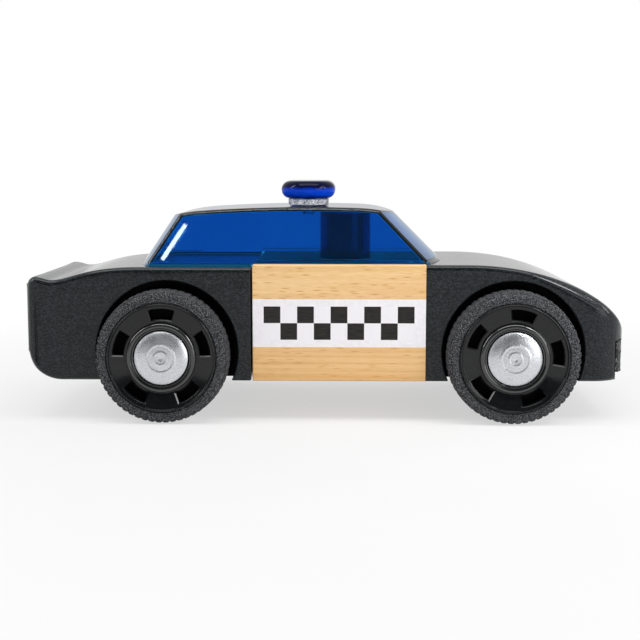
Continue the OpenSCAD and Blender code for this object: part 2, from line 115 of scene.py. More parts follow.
def bezier(a, b, c, d, steps):
    line = []
    for i in range(steps + 1):
        t = i / steps
        u = 1 - t
        shares = (u**3, 3 * u * u * t, 3 * u * t * t, t**3)
        line.append(tuple(sum(k * v for k, v in zip(shares, axis)) for axis in zip(a, b, c, d)))
    return line


def without_repeats(points):
    kept = []
    for p in points:
        if not kept or math.dist(p, kept[-1]) > 1e-4:
            kept.append(p)
    if math.dist(kept[0], kept[-1]) < 1e-4:
        kept.pop()
    return kept


# Shader graphs
WHITE = (1.0, 1.0, 1.0, 1.0)


def display(r, g, b):
    """A linear colour from display values out of 255."""
    channels = [c / 255 for c in (r, g, b)]
    return tuple(c / 12.92 if c <= 0.04045 else ((c + 0.055) / 1.055) ** 2.4 for c in channels) + (1.0,)


class Nodes:
    """A node tree, with short calls for the nodes that the world and the materials share."""

    def __init__(self, tree):
        self.tree = tree

    def add(self, kind, inputs=(), **settings):
        node = self.tree.nodes.new(kind)
        for name, value in settings.items():
            setattr(node, name, value)
        for socket, value in dict(inputs).items():
            self.feed(node.inputs[socket], value)
        return node

    def feed(self, socket, value):
        if isinstance(value, bpy.types.NodeSocket):
            self.tree.links.new(value, socket)
        else:
            socket.default_value = value

    def math(self, operation, a, b=0.0):
        return self.add("ShaderNodeMath", {0: a, 1: b}, operation=operation).outputs[0]

    def times(self, a, b):
        return self.math("MULTIPLY", a, b)

    def ranged(self, value, low, high, start=0.0, end=1.0):
        """From start to end as the value goes from low to high."""
        inputs = {"Value": value, "From Min": low, "From Max": high, "To Min": start, "To Max": end}
        return self.add("ShaderNodeMapRange", inputs).outputs[0]

    def on_rays(self, first, *others):
        """1 on rays of any of these kinds."""
        path = self.add("ShaderNodeLightPath").outputs
        total = path[f"Is {first} Ray"]
        for kind in others:
            total = self.math("MAXIMUM", total, path[f"Is {kind} Ray"])
        return total


class Graph(Nodes):
    """A material's nodes. Its coordinates are millimetres on the part."""

    def __init__(self, name, **sockets):
        self.material = bpy.data.materials.new(name)
        self.material.use_nodes = True
        super().__init__(self.material.node_tree)
        self.shader = self.tree.nodes["Principled BSDF"]
        self.set(**sockets)
        self.place = self.scaled(self.add("ShaderNodeTexCoord").outputs["Object"], (1 / MM,) * 3)

    def scaled(self, vector, scale, shift=(0, 0, 0)):
        return self.add("ShaderNodeMapping", {"Vector": vector, "Scale": scale, "Location": shift}).outputs[0]

    def noise(self, scale, detail=3.0, roughness=0.55):
        stretched = self.scaled(self.place, scale if isinstance(scale, tuple) else (scale,) * 3)
        inputs = {"Vector": stretched, "Scale": 1.0, "Detail": detail, "Roughness": roughness}
        return self.add("ShaderNodeTexNoise", inputs).outputs["Fac"]

    def ramp(self, fac, *stops):
        node = self.add("ShaderNodeValToRGB", {"Fac": fac})
        elements = node.color_ramp.elements
        while len(elements) < len(stops):
            elements.new(0.5)
        for element, (position, colour) in zip(elements, stops):
            element.position = position
            element.color = colour if isinstance(colour, tuple) else (colour, colour, colour, 1.0)
        return node.outputs["Color"]

    def drift(self, fac, a, b):
        return self.ramp(fac, (0.3, a), (0.7, b))

    def mix(self, fac, a, b):
        return self.add("ShaderNodeMix", {0: fac, 6: a, 7: b}, data_type="RGBA").outputs[2]

    def axes(self):
        return self.add("ShaderNodeSeparateXYZ", {0: self.place}).outputs

    def from_centres(self, axes, front_x, rear_x, z):
        """Distance, seen from the side, from the nearer of two centres at the same height."""
        along = self.math("ABSOLUTE", self.math("SUBTRACT", axes[0], (front_x + rear_x) / 2))
        across = self.math("SUBTRACT", along, (front_x - rear_x) / 2)
        arm = self.add("ShaderNodeCombineXYZ", {0: across, 1: self.math("SUBTRACT", axes[2], z)})
        return self.add("ShaderNodeVectorMath", {0: arm.outputs[0]}, operation="LENGTH").outputs["Value"]

    def between(self, value, low, high):
        return self.times(self.math("GREATER_THAN", value, low), self.math("LESS_THAN", value, high))

    def bump(self, height, depth, strength, below=None):
        inputs = {"Height": height, "Distance": depth * MM, "Strength": strength}
        if below is not None:
            inputs["Normal"] = below
        return self.add("ShaderNodeBump", inputs).outputs["Normal"]

    def set(self, **sockets):
        for socket, value in sockets.items():
            self.feed(self.shader.inputs[socket.replace("_", " ")], value)
        return self.material


def black_paint():
    """Satin paint over the wood's grain, dull in the wheel pockets and darkened there as painted shade."""
    g = Graph("satin_black_paint", Specular_IOR_Level=0.1, Coat_IOR=1.3, Coat_Roughness=0.12)
    speckle = g.noise((2.6, 5.4, 5.4), 3.0, 0.7)
    grain = g.noise((0.09, 1.6, 1.6), 4.0, 0.6)
    broad = g.noise(0.08, 2.0)
    colour = g.ramp(speckle, (0.43, display(0, 1, 3)), (0.5, display(5, 8, 10)), (0.57, display(48, 54, 58)))
    colour = g.mix(0.35, colour, g.ramp(grain, (0.35, display(3, 5, 7)), (0.65, display(24, 28, 31))))
    wander = g.math("ADD", g.times(broad, 0.6), g.times(speckle, 0.4))
    reach = g.from_centres(g.axes(), FRONT_ARCH_X, REAR_ARCH_X, ARCH_Z)
    pocket = g.math("LESS_THAN", reach, ARCH_R + 2 * NEAR)
    # Painted shade: in the wheel pockets the paint's colour is darkened.
    colour = g.mix(pocket, colour, g.ramp(speckle, (0.36, display(3, 3, 3)), (0.64, display(14, 14, 15))))
    rough = g.mix(pocket, g.drift(wander, 0.3, 0.42), g.drift(wander, 0.85, 0.95))
    coat = g.ramp(g.math("ADD", g.times(wander, 0.2), pocket), (0.2, 1.0), (0.6, 0.05))
    relief = g.bump(grain, 0.015, 0.5, g.bump(speckle, 0.02, 0.7))
    return g.set(Base_Color=colour, Roughness=rough, Coat_Weight=coat, Normal=relief)


# The printed band on the sides of the bare block, and the checks where the lettering would be
BAND_LOW_Z, BAND_HIGH_Z = 14.8, 24.3
CHECK, CHECK_COLUMNS, CHECK_ROWS = 3.3, 9, 2
CHECK_X = (FRONT_FACE_X + PAINT_X) / 2 - CHECK * CHECK_COLUMNS / 2
CHECK_Z = (BAND_LOW_Z + BAND_HIGH_Z) / 2 - CHECK * CHECK_ROWS / 2
FLECK_SIZE, FLECK_SHARE, SHADE_TOP_Z, SHADE_FOOT_Z = (3.4, 1.3, 0.36), 0.42, 22.0, 11.0


def beech_wood():
    """Beech with fibres and ray flecks, with painted shade that makes it darker low down, and with the band and its
    checks printed on the sides.
    """
    g = Graph("bare_beech", Specular_IOR_Level=0.3)
    axes = g.axes()
    broad = g.noise((0.03, 0.22, 0.3), 4.0, 0.55)
    tones = (0.28, display(222, 178, 118)), (0.48, display(233, 193, 137)), (0.72, display(243, 209, 158))
    colour = g.ramp(broad, *tones)
    rings = g.noise((0.012, 0.5, 1.1), 3.0, 0.6)
    colour = g.mix(0.4, colour, g.ramp(rings, (0.36, display(218, 168, 104)), (0.6, display(244, 210, 160))))
    fibres = g.noise((0.35, 7.0, 7.0), 3.0, 0.6)
    colour = g.mix(0.35, colour, g.ramp(fibres, (0.36, display(214, 166, 104)), (0.64, display(246, 214, 166))))
    spread = g.scaled(g.place, tuple(1 / size for size in FLECK_SIZE))
    cells = g.add("ShaderNodeTexVoronoi", {"Vector": spread, "Scale": 1.0, "Randomness": 1.0}).outputs
    near = g.ramp(cells["Distance"], (0.1, 1.0), (0.34, 0.0))
    lot = g.add("ShaderNodeSeparateXYZ", {0: cells["Color"]}).outputs[0]
    fleck = g.times(near, g.math("GREATER_THAN", lot, FLECK_SHARE))
    colour = g.mix(g.times(fleck, 0.9), colour, display(194, 130, 66))
    # Painted shade: the wood is darkened towards its foot.
    low = g.ranged(axes[2], SHADE_TOP_Z, SHADE_FOOT_Z, 0.0, 0.5)
    colour = g.mix(low, colour, g.ramp(rings, (0.36, display(204, 148, 84)), (0.6, display(224, 178, 118))))
    on_side = g.math("GREATER_THAN", g.math("ABSOLUTE", axes[1]), SIDE_Y - 0.15)
    band = g.times(g.between(axes[2], BAND_LOW_Z, BAND_HIGH_Z), on_side)
    ink = g.ramp(g.noise((0.5, 5.0, 5.0), 3.0), (0.3, 0.97), (0.6, 1.0))
    squares = g.scaled(g.place, (1 / CHECK, 0, 1 / CHECK), (-CHECK_X / CHECK, 0.5, -CHECK_Z / CHECK))
    inks = {"Color1": display(24, 25, 27), "Color2": display(236, 234, 238)}
    checks = g.add("ShaderNodeTexChecker", {"Vector": squares, "Scale": 1.0, **inks})
    in_checks = g.times(
        g.between(axes[0], CHECK_X, CHECK_X + CHECK * CHECK_COLUMNS),
        g.between(axes[2], CHECK_Z, CHECK_Z + CHECK * CHECK_ROWS),
    )
    white = g.drift(g.noise(1.1, 4.0), display(230, 227, 232), display(240, 238, 242))
    printed = g.mix(in_checks, white, checks.outputs["Color"])
    colour = g.mix(g.times(band, ink), colour, printed)
    rough = g.mix(band, g.drift(fibres, 0.5, 0.62), g.drift(fibres, 0.36, 0.44))
    relief = g.bump(fibres, 0.025, 0.5, g.bump(fleck, -0.02, 0.6))
    return g.set(Base_Color=colour, Roughness=rough, Normal=relief)


def tinted(name, deep, light, roughness=0.015, scale=0.06, relief=0.01, stops=(0.3, 0.7)):
    """See-through plastic whose tint and surface wander a little, as moulded plastic does."""
    g = Graph(name, Transmission_Weight=1.0, IOR=1.49, Roughness=roughness)
    flow = g.noise(scale, 3.0)
    colour = g.ramp(flow, (stops[0], deep), (stops[1], light))
    return g.set(Base_Color=colour, Normal=g.bump(flow, relief, 0.6))


def canopy_blue():
    """Clear blue plastic, with painted light down in its rim: greener, darker and less clear there."""
    g = Graph("blue_plastic", IOR=1.49, Roughness=0.015)
    flow = g.noise(0.06, 3.0)
    # Painted light: the shell below the top of the wood is tinted greener and darker and lets less through.
    rim = g.math("LESS_THAN", g.axes()[2], TOP_Z - 4 * NEAR)
    shell = g.drift(flow, (0.01, 0.232, 0.6, 1.0), (0.014, 0.25, 0.62, 1.0))
    colour = g.mix(rim, shell, g.drift(flow, (0.004, 0.11, 0.2, 1.0), (0.006, 0.13, 0.22, 1.0)))
    clear = g.mix(rim, WHITE, g.drift(flow, 0.3, 0.35))
    return g.set(Base_Color=colour, Transmission_Weight=clear, Normal=g.bump(flow, 0.003, 0.6))


def moulded(name, dark, light, low_rough, high_rough, scale=1.5, relief=0.01, **sockets):
    """A plain hard surface whose colour and polish wander a little."""
    g = Graph(name, **sockets)
    fine = g.noise(scale, 4.0, 0.6)
    broad = g.noise(scale / 9, 2.0)
    colour = g.drift(fine, dark, light)
    rough = g.drift(broad, low_rough, high_rough)
    return g.set(Base_Color=colour, Roughness=rough, Normal=g.bump(fine, relief, 0.6))


def hub_black():
    """Glossy black plastic, brightest on the collar, dull down in the windows and darkened there as painted shade."""
    g = Graph("hub_black_plastic")
    fine = g.noise(1.5, 4.0, 0.6)
    broad = g.noise(0.17, 2.0)
    axes = g.axes()
    # Painted shade: the deep parts of the hub, down in the windows, are painted darker.
    deep = g.math("LESS_THAN", g.math("ABSOLUTE", axes[1]), RIM_Y - 1.5)
    reach = g.from_centres(axes, FRONT_AXLE_X, REAR_AXLE_X, AXLE_Z)
    collar = g.math("LESS_THAN", reach, COLLAR_R + 3 * NEAR)
    face = g.drift(fine, display(12, 13, 14), display(22, 23, 25))
    colour = g.mix(deep, face, g.drift(fine, display(3, 3, 4), display(9, 9, 10)))
    rough = g.mix(deep, g.drift(broad, 0.07, 0.13), g.drift(broad, 0.6, 0.8))
    shine = g.ramp(g.math("ADD", g.times(broad, 0.1), deep), (0.2, 0.36), (0.6, 0.06))
    shine = g.math("ADD", shine, g.times(collar, 0.6))
    return g.set(Base_Color=colour, Roughness=rough, Specular_IOR_Level=shine, Normal=g.bump(fine, 0.006, 0.6))


def grille_black():
    """Coarse black plastic whose high spots are paler."""
    g = Graph("stippled_black_plastic", Specular_IOR_Level=0.4)
    fine = g.noise(2.2, 4.0, 0.65)
    colour = g.ramp(fine, (0.42, display(4, 5, 6)), (0.52, display(26, 27, 29)), (0.64, display(112, 114, 117)))
    rough = g.ramp(fine, (0.4, 0.75), (0.6, 0.4))
    return g.set(Base_Color=colour, Roughness=rough, Normal=g.bump(fine, 0.16, 0.7))


def lens_blue():
    """Thick blue plastic with painted light: dark under its top and bright lower down, painted by height."""
    g = Graph("deep_blue_plastic", Roughness=0.05, IOR=1.45, Specular_IOR_Level=0.08, Transmission_Weight=0.1)
    # Painted light: bright blue low down and dark navy at the top, set by height alone.
    depth = g.ranged(g.axes()[2], LENS_LOW.z, LENS_HIGH.z)
    cloud = g.math("ADD", depth, g.times(g.math("SUBTRACT", g.noise(0.35, 3.0), 0.5), 0.25))
    painted_light_stops = (0.05, display(8, 50, 165)), (0.25, display(10, 80, 235))
    dark = (0.5, display(6, 62, 200)), (0.68, display(6, 4, 44))
    colour = g.ramp(cloud, *painted_light_stops, *dark)
    return g.set(Base_Color=colour, Normal=g.bump(g.noise(0.5, 2.0), 0.02, 0.4))


def rubber():
    """Grey-black rubber with crumbs and fine grain."""
    g = Graph("tyre_rubber", Specular_IOR_Level=0.25)
    crumbs = g.add("ShaderNodeTexVoronoi", {"Vector": g.scaled(g.place, (4.4,) * 3), "Scale": 1.0}).outputs["Distance"]
    fine = g.noise(4.0, 4.0, 0.7)
    both = g.math("ADD", g.times(crumbs, 0.55), g.times(fine, 0.45))
    colour = g.ramp(both, (0.24, display(136, 137, 140)), (0.38, display(90, 91, 94)), (0.54, display(36, 37, 39)))
    rough = g.drift(fine, 0.7, 0.92)
    return g.set(Base_Color=colour, Roughness=rough, Normal=g.bump(both, -0.06, 0.8))


def silver():
    """Silver lacquer with a fine hammered mottle."""
    g = Graph("silver_cap", Metallic=0.85)
    mottle = g.noise(3.5, 4.0, 0.65)
    colour = g.drift(mottle, display(192, 194, 198), display(222, 224, 228))
    rough = g.drift(g.noise(0.6, 2.0), 0.22, 0.34)
    return g.set(Base_Color=colour, Roughness=rough, Normal=g.bump(mottle, 0.045, 0.7))


PAINT = black_paint()
BEECH = beech_wood()
BLUE = canopy_blue()
POST_BLUE = tinted("blue_plastic_post", (0.008, 0.03, 0.16, 1.0), (0.012, 0.045, 0.2, 1.0), roughness=0.05, scale=0.2)
DEEP_BLUE = lens_blue()
# Painted refraction: the clear plastic's tint swings to dark grey in patches.
CLEAR = tinted(
    "clear_plastic", (0.22, 0.24, 0.28, 1.0), (0.93, 0.94, 0.96, 1.0), scale=0.9, relief=0.5, stops=(0.4, 0.6)
)
HUB_BLACK = hub_black()
GLOSS_BLACK = moulded("gloss_black_plastic", display(22, 23, 25), display(34, 35, 38), 0.13, 0.24, relief=0.006)
GRILLE_BLACK = grille_black()
GREY = moulded("grey_plastic", display(74, 76, 80), display(92, 94, 98), 0.35, 0.5)
STEEL = moulded("drawn_steel", display(176, 177, 180), display(206, 207, 210), 0.2, 0.36, scale=2.4, Metallic=1.0)
RUBBER = rubber()
SILVER = silver()


# Mesh pieces
def placed(name, data):
    made = bpy.data.objects.new(name, data)
    bpy.context.scene.collection.objects.link(made)
    return made


def as_object(bm, name="working"):
    mesh = bpy.data.meshes.new(name)
    bm.to_mesh(mesh)
    bm.free()
    return placed(name, mesh)


def outward(bm):
    bmesh.ops.recalc_face_normals(bm, faces=bm.faces)
    return bm


def weld(bm, gap):
    bmesh.ops.remove_doubles(bm, verts=bm.verts, dist=gap)
    bmesh.ops.dissolve_degenerate(bm, edges=bm.edges, dist=gap)


def finish_piece(name, bm, material, body, nodes, sharp=35.0):
    """A mesh in millimetres becomes a piece in metres that rides on a body and stands for the CAD nodes."""
    piece = as_object(outward(bm), name)
    mesh = piece.data
    mesh.transform(Matrix.Scale(MM, 4))
    mesh.shade_smooth()
    mesh.set_sharp_from_angle(angle=math.radians(sharp))
    mesh.materials.append(material)
    piece.modifiers.new("weighted_normals", "WEIGHTED_NORMAL").keep_sharp = True
    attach(piece, body)
    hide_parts(*nodes)


def bridge(bm, low, high):
    """A belt of faces between two closed loops."""
    for i in range(len(low)):
        j = (i + 1) % len(low)
        bm.faces.new((low[i], low[j], high[j], high[i]))


def stacked(loops):
    """A closed form from loops of points, each with the same number of them."""
    bm = bmesh.new()
    rings = [[bm.verts.new(point) for point in loop] for loop in loops]
    bm.faces.new(rings[0][::-1])
    bm.faces.new(rings[-1])
    for low, high in zip(rings, rings[1:]):
        bridge(bm, low, high)
    return bm


def prism(points, low, high, place):
    """A closed prism from an outline; place turns (u, v, w) into (x, y, z)."""
    return outward(stacked([[place(u, v, w) for u, v in points] for w in (low, high)]))


def turned(section, steps, place, start=0.0):
    """A closed lathe form from a section of (radius, height) points; points on the axis are shared."""
    bm = bmesh.new()
    rings = []
    for r, h in section:
        if r < 1e-6:
            rings.append([bm.verts.new(place(0.0, h, 0.0))] * steps)
        else:
            rings.append([bm.verts.new(place(r, h, start + 2 * math.pi * i / steps)) for i in range(steps)])
    for a, b in zip(rings, rings[1:] + rings[:1]):
        for i in range(steps):
            j = (i + 1) % steps
            corners = list(dict.fromkeys((a[i], a[j], b[j], b[i])))
            if len(corners) > 2:
                bm.faces.new(corners)
    return outward(bm)


def along_y(u, v, w):
    return (u, w, v)


def along_z(u, v, w):
    return (u, v, w)


def along_x(u, v, w):
    return (w, u, v)


def disc(centre, r, steps):
    return arc(centre, r, 0, 360 * (steps - 1) / steps, steps - 1)


def rectangle(low, high):
    return [(low[0], low[1]), (high[0], low[1]), (high[0], high[1]), (low[0], high[1])]


def evaluated(made):
    """The object's mesh with its modifiers, as a new bmesh; the object goes."""
    graph = bpy.context.evaluated_depsgraph_get()
    bm = bmesh.new()
    bm.from_mesh(made.evaluated_get(graph).to_mesh())
    drop(made)
    return bm


def drop(made):
    mesh = made.data
    bpy.data.objects.remove(made)
    bpy.data.meshes.remove(mesh)


def cut(bm, cutters, operation="DIFFERENCE"):
    made = as_object(bm)
    tools = [as_object(c) for c in cutters]
    for tool in tools:
        modifier = made.modifiers.new("cut", "BOOLEAN")
        modifier.operation, modifier.solver, modifier.object = operation, "EXACT", tool
    bm = evaluated(made)
    for tool in tools:
        drop(tool)
    weld(bm, 1e-4)
    return bm


def eased(bm, width, weight_of, segments=4):
    """Rounds each sharp edge by its own share of the width."""
    bm.normal_update()
    layer = bm.edges.layers.float.new("bevel_weight_edge")
    for edge in bm.edges:
        if len(edge.link_faces) == 2 and edge.calc_face_angle() > math.radians(24):
            edge[layer] = weight_of(edge)
    made = as_object(bm)
    bevel = made.modifiers.new("ease", "BEVEL")
    bevel.limit_method, bevel.width, bevel.segments = "WEIGHT", width, segments
    bevel.use_clamp_overlap, bevel.miter_outer = False, "MITER_ARC"
    return evaluated(made)


def mirrored(bm):
    """The near half and its mirror image, so that both sides have the same faces."""
    def everything():
        return bm.verts[:] + bm.edges[:] + bm.faces[:]

    bmesh.ops.bisect_plane(bm, geom=everything(), dist=1e-5, plane_co=(0, 0, 0), plane_no=(0, 1, 0), clear_outer=True)
    bmesh.ops.triangulate(bm, faces=[f for f in bm.faces if len(f.verts) > 4])
    bmesh.ops.mirror(bm, geom=everything(), matrix=Matrix.Identity(4), merge_dist=1e-4, axis="Y")
    return outward(bm)


# Wooden blocks
def rear_outline():
    crest = (TAIL_X + LIP_R, TOP_Z - LIP_DROP)
    dip = (TAIL_X + DIP_BACK, TOP_Z - DIP_DROP)
    flat = (dip[0] + DECK_RISE, DECK_Z)
    pull = (dip[0] - crest[0]) * LIP_PULL
    return without_repeats(
        [(REAR_FACE_X, BELLY_Z)]
        + arc((TAIL_X + TAIL_UNDER_R, BELLY_Z + TAIL_UNDER_R), TAIL_UNDER_R, 270, 180, 18)
        + arc((crest[0], crest[1] - LIP_R), LIP_R, 180, 90, 10)
        + bezier(crest, (crest[0] + pull, crest[1]), (dip[0] - pull, dip[1]), dip, 12)
        + bezier(dip, (dip[0] + DECK_RISE * DIP_PULL, dip[1]), (flat[0] - DECK_RISE * DECK_PULL, flat[1]), flat, 24)
        + [(REAR_FACE_X, DECK_Z)]
    )


def hood_line():
    back, tip = (NOSE_X - HOOD_LENGTH, TOP_Z), (NOSE_X, TOP_Z - NOSE_DROP)
    over = (back[0] + HOOD_LENGTH * HOOD_PULL, back[1])
    return bezier(back, over, (tip[0], tip[1] + NOSE_DROP * NOSE_PULL), tip, 30)


def hood_z(x):
    line = hood_line()
    for (x0, z0), (x1, z1) in zip(line, line[1:]):
        if x <= x1:
            return z0 + (z1 - z0) * (x - x0) / (x1 - x0)
    return line[-1][1]


def hood_edge_r(x):
    """Rounding of the hood's long edges: deepest a little behind the nose, where a straight bar would touch."""
    deepest = NOSE_X - HOOD_EDGE_BACK
    slope = (hood_z(deepest + 1) - hood_z(deepest - 1)) / 2
    below = hood_z(deepest) + slope * (x - deepest) - hood_z(min(max(x, NOSE_X - HOOD_LENGTH), NOSE_X - 0.01))
    return max(EDGE_R, HOOD_EDGE_R - HOOD_EDGE_FADE * abs(below))


def plan_outline():
    nose, tail = (NOSE_X - NOSE_CORNER_R, NOSE_CORNER_R), (TAIL_X + TAIL_CORNER_R, TAIL_CORNER_R)
    corners = ((nose, 1, 0), (tail, 1, 90), (tail, -1, 180), (nose, -1, 270))
    return [p for (x, r), hand, turn in corners for p in arc((x, hand * (SIDE_Y - r)), r, turn, turn + 90, 12)]


def wheel_cutters(x, arch_x):
    arch = disc((arch_x, ARCH_Z), ARCH_R, 128)
    pockets = [prism(arch, side * POCKET_Y, side * (SIDE_Y + 2 * PAST), along_y) for side in (-1, 1)]
    return pockets + [prism(disc((x, AXLE_Z), AXLE_R + NEAR / 2, 32), -SIDE_Y, SIDE_Y, along_y)]


def coupling_cutters(face_x, inward, sleeve):
    """The coupling's recess, the sleeve's socket if there is one, and the screw bores, in a face of a block."""
    def reaching(depth):
        return sorted((face_x - inward * PAST, face_x + inward * depth))

    def recess(half_y, half_z, depth):
        outline = rectangle((-half_y, COUPLING_Z - half_z), (half_y, COUPLING_Z + half_z))
        return prism(outline, *reaching(depth), along_x)

    cutters = [recess(PLATE_HALF_Y, PLATE_HALF_Z, PLATE_DEPTH)]
    if sleeve:
        cutters.append(recess(SLEEVE_HALF_Y, SLEEVE_HALF_Z, SLEEVE_DEPTH))
    bores = [disc((y, COUPLING_Z), SCREW_R, 24) for y in (-SCREW_Y, SCREW_Y)]
    return cutters + [prism(bore, *reaching(SCREW_DEPTH), along_x) for bore in bores]


def on_plane(edge, axis, at):
    return all(abs(v.co[axis] - at) < NEAR for v in edge.verts)


def on_arch(edge, x):
    return all(abs(math.hypot(v.co.x - x, v.co.z - ARCH_Z) - ARCH_R) < 1.5 * NEAR for v in edge.verts)


def block_weight(edge, arch_x, plain_x, seam_x, outline):
    """How much of the rounding an edge of a block takes."""
    if on_plane(edge, 0, plain_x) or all(abs(v.co.y) < HIDDEN_Y for v in edge.verts):
        return 0.0
    if on_arch(edge, arch_x) or on_plane(edge, 0, seam_x):
        return FINE_EDGE_R / EDGE_R
    if on_plane(edge, 2, BELLY_Z):
        return 0.4 if REAR_AXLE_X < edge.verts[0].co.x < FRONT_AXLE_X else 1.0
    return outline


def rear_block():
    bm = prism(rear_outline(), -SIDE_Y, SIDE_Y, along_y)
    bm = cut(bm, [prism(plan_outline(), BELLY_Z - 2 * PAST, TOP_Z + 2 * PAST, along_z)], "INTERSECT")
    bm = cut(bm, wheel_cutters(REAR_AXLE_X, REAR_ARCH_X))
    bm = mirrored(eased(bm, EDGE_R, lambda e: block_weight(e, REAR_ARCH_X, NOWHERE, REAR_FACE_X, 1.0)))
    bm = cut(bm, coupling_cutters(REAR_FACE_X, -1, False))
    finish_piece("rear_block", bm, PAINT, "rear_half", ["rear_body"])


# Distances from the edge at which the nose's skin has rows
EDGE_ROWS = (0.0, 0.12, 0.26, 0.42, 0.6, 0.8, 1.05, 1.35, 1.7, 2.1, 2.6, 3.4)


def plan_half(x):
    """Half the width of the nose seen from above."""
    into = x - (NOSE_X - NOSE_CORNER_R)
    return SIDE_Y if into <= 0 else SIDE_Y - NOSE_CORNER_R + math.sqrt(max(0.0, NOSE_CORNER_R**2 - into**2))


def hood_depth(spot, line):
    """How far a spot lies inside the hood's skin, and the way in."""
    best, way = 1e9, None
    for (x0, z0), (x1, z1) in zip(line, line[1:]):
        run, start = Vector((x1 - x0, 0, z1 - z0)), Vector((x0, spot.y, z0))
        t = min(max((spot - start).dot(run) / run.length_squared, 0.0), 1.0)
        gap = start + run * t - spot
        if gap.length < best:
            best, way = gap.length, Vector((run.z, 0, -run.x)).normalized()
    return best, way


def plan_depth(spot):
    """How far a spot lies inside the nose's outline seen from above, and the way in."""
    hand = math.copysign(1.0, spot.y)
    centre = Vector((NOSE_X - NOSE_CORNER_R, hand * (SIDE_Y - NOSE_CORNER_R), spot.z))
    out = spot - centre
    if out.x > 0 and out.y * hand > 0:
        return NOSE_CORNER_R - out.length, -out.normalized()
    if out.x > out.y * hand:
        return NOSE_X - spot.x, Vector((-1, 0, 0))
    return SIDE_Y - abs(spot.y), Vector((0, -hand, 0))


def rolled(spot, line):
    """The spot moved in to where a ball rolled along the inside of the edge would touch."""
    d1, n1 = hood_depth(spot, line)
    d2, n2 = plan_depth(spot)
    r = hood_edge_r(spot.x)
    c = n1.dot(n2)
    if c > 0.999 or d1 >= r or d2 >= r:
        return spot
    a = ((r - d1) - c * (r - d2)) / (1 - c * c)
    b = ((r - d2) - c * (r - d1)) / (1 - c * c)
    arm = n1 * a + n2 * b
    if a <= 0 or b <= 0 or arm.length <= r:
        return spot
    return spot + arm - arm.normalized() * r


def nose_skin():
    """The painted nose as rows over the hood and down both sides, with its edges rolled round."""
    profile = without_repeats([(PAINT_X, TOP_Z)] + hood_line())
    line = [(PAINT_X - 9, TOP_Z)] + profile + [(NOSE_X, BELLY_Z - 9)]
    arc_xs = [NOSE_X - NOSE_CORNER_R + NOSE_CORNER_R * math.sin(math.radians(a)) for a in range(0, 90, 6)]
    xs = sorted({round(x, 4) for x, _ in profile} | {round(x, 4) for x in arc_xs})
    xs = [x for i, x in enumerate(xs) if i == 0 or x - xs[i - 1] > 0.012]
    bm = bmesh.new()
    rails = []
    for x in xs:
        half, top = plan_half(x), TOP_Z if x <= profile[1][0] else hood_z(x)
        side = [top - row for row in EDGE_ROWS if top - row > GRILLE_TOP_Z - 4] + [BELLY_Z]
        side += [BELLY_Z] * (len(EDGE_ROWS) + 1 - len(side))
        up_and_in = [(half, z) for z in reversed(side)] + [(half - row, top) for row in EDGE_ROWS[1:]]
        spots = [Vector((x, -y, z)) for y, z in up_and_in] + [Vector((x, 0, top))]
        spots += [Vector((x, y, z)) for y, z in reversed(up_and_in)]
        rails.append([bm.verts.new(rolled(spot, line)) for spot in spots])
    for low, high in zip(rails, rails[1:]):
        for i in range(len(low)):
            j = (i + 1) % len(low)
            bm.faces.new((low[i], high[i], high[j], low[j]))
    bm.faces.new(rails[0])
    bm.faces.new(rails[-1][::-1])
    weld(bm, 2e-3)
    bmesh.ops.dissolve_limit(bm, angle_limit=math.radians(0.15), verts=bm.verts, edges=bm.edges)
    return outward(bm)


def front_blocks():
    """The painted nose and the bare middle of the front block."""
    step_outline = rectangle((GRILLE_X, BELLY_Z - PAST), (NOSE_X + PAST, GRILLE_TOP_Z))
    step = prism(step_outline, -SIDE_Y - PAST, SIDE_Y + PAST, along_y)
    bm = cut(nose_skin(), wheel_cutters(FRONT_AXLE_X, FRONT_ARCH_X) + [step])

    def nose_weight(edge):
        share = block_weight(edge, FRONT_ARCH_X, PAINT_X, NOWHERE, 0.0)
        step_edge = all(v.co.x > GRILLE_X - NEAR and v.co.z < GRILLE_TOP_Z + NEAR for v in edge.verts)
        return FINE_EDGE_R / EDGE_R if step_edge else share

    bm = eased(bm, EDGE_R, nose_weight)
    finish_piece("nose_block", bm, PAINT, "front_half", ["front_body"])
    bm = prism(rectangle((FRONT_FACE_X, BELLY_Z), (PAINT_X, TOP_Z)), -SIDE_Y, SIDE_Y, along_y)
    bm = eased(bm, FINE_EDGE_R, lambda e: 0.0 if on_plane(e, 0, PAINT_X) else 0.8, 3)
    post_outline = disc((POST_X, 0), POST_R + POST_SLIP, 96)
    post_hole = prism(post_outline, TOP_Z - POST_PLUG - POST_SPARE, TOP_Z + PAST, along_z)
    bm = cut(bm, [post_hole] + coupling_cutters(FRONT_FACE_X, 1, True))
    finish_piece("bare_block", bm, BEECH, "front_half", ["front_body"])


GRILLE_STEP, GRILLE_ROWS, STIPPLE_DEPTH, STIPPLE_SCALE, STIPPLE_SIDE = 0.32, 20, 0.22, 1.9, 0.4


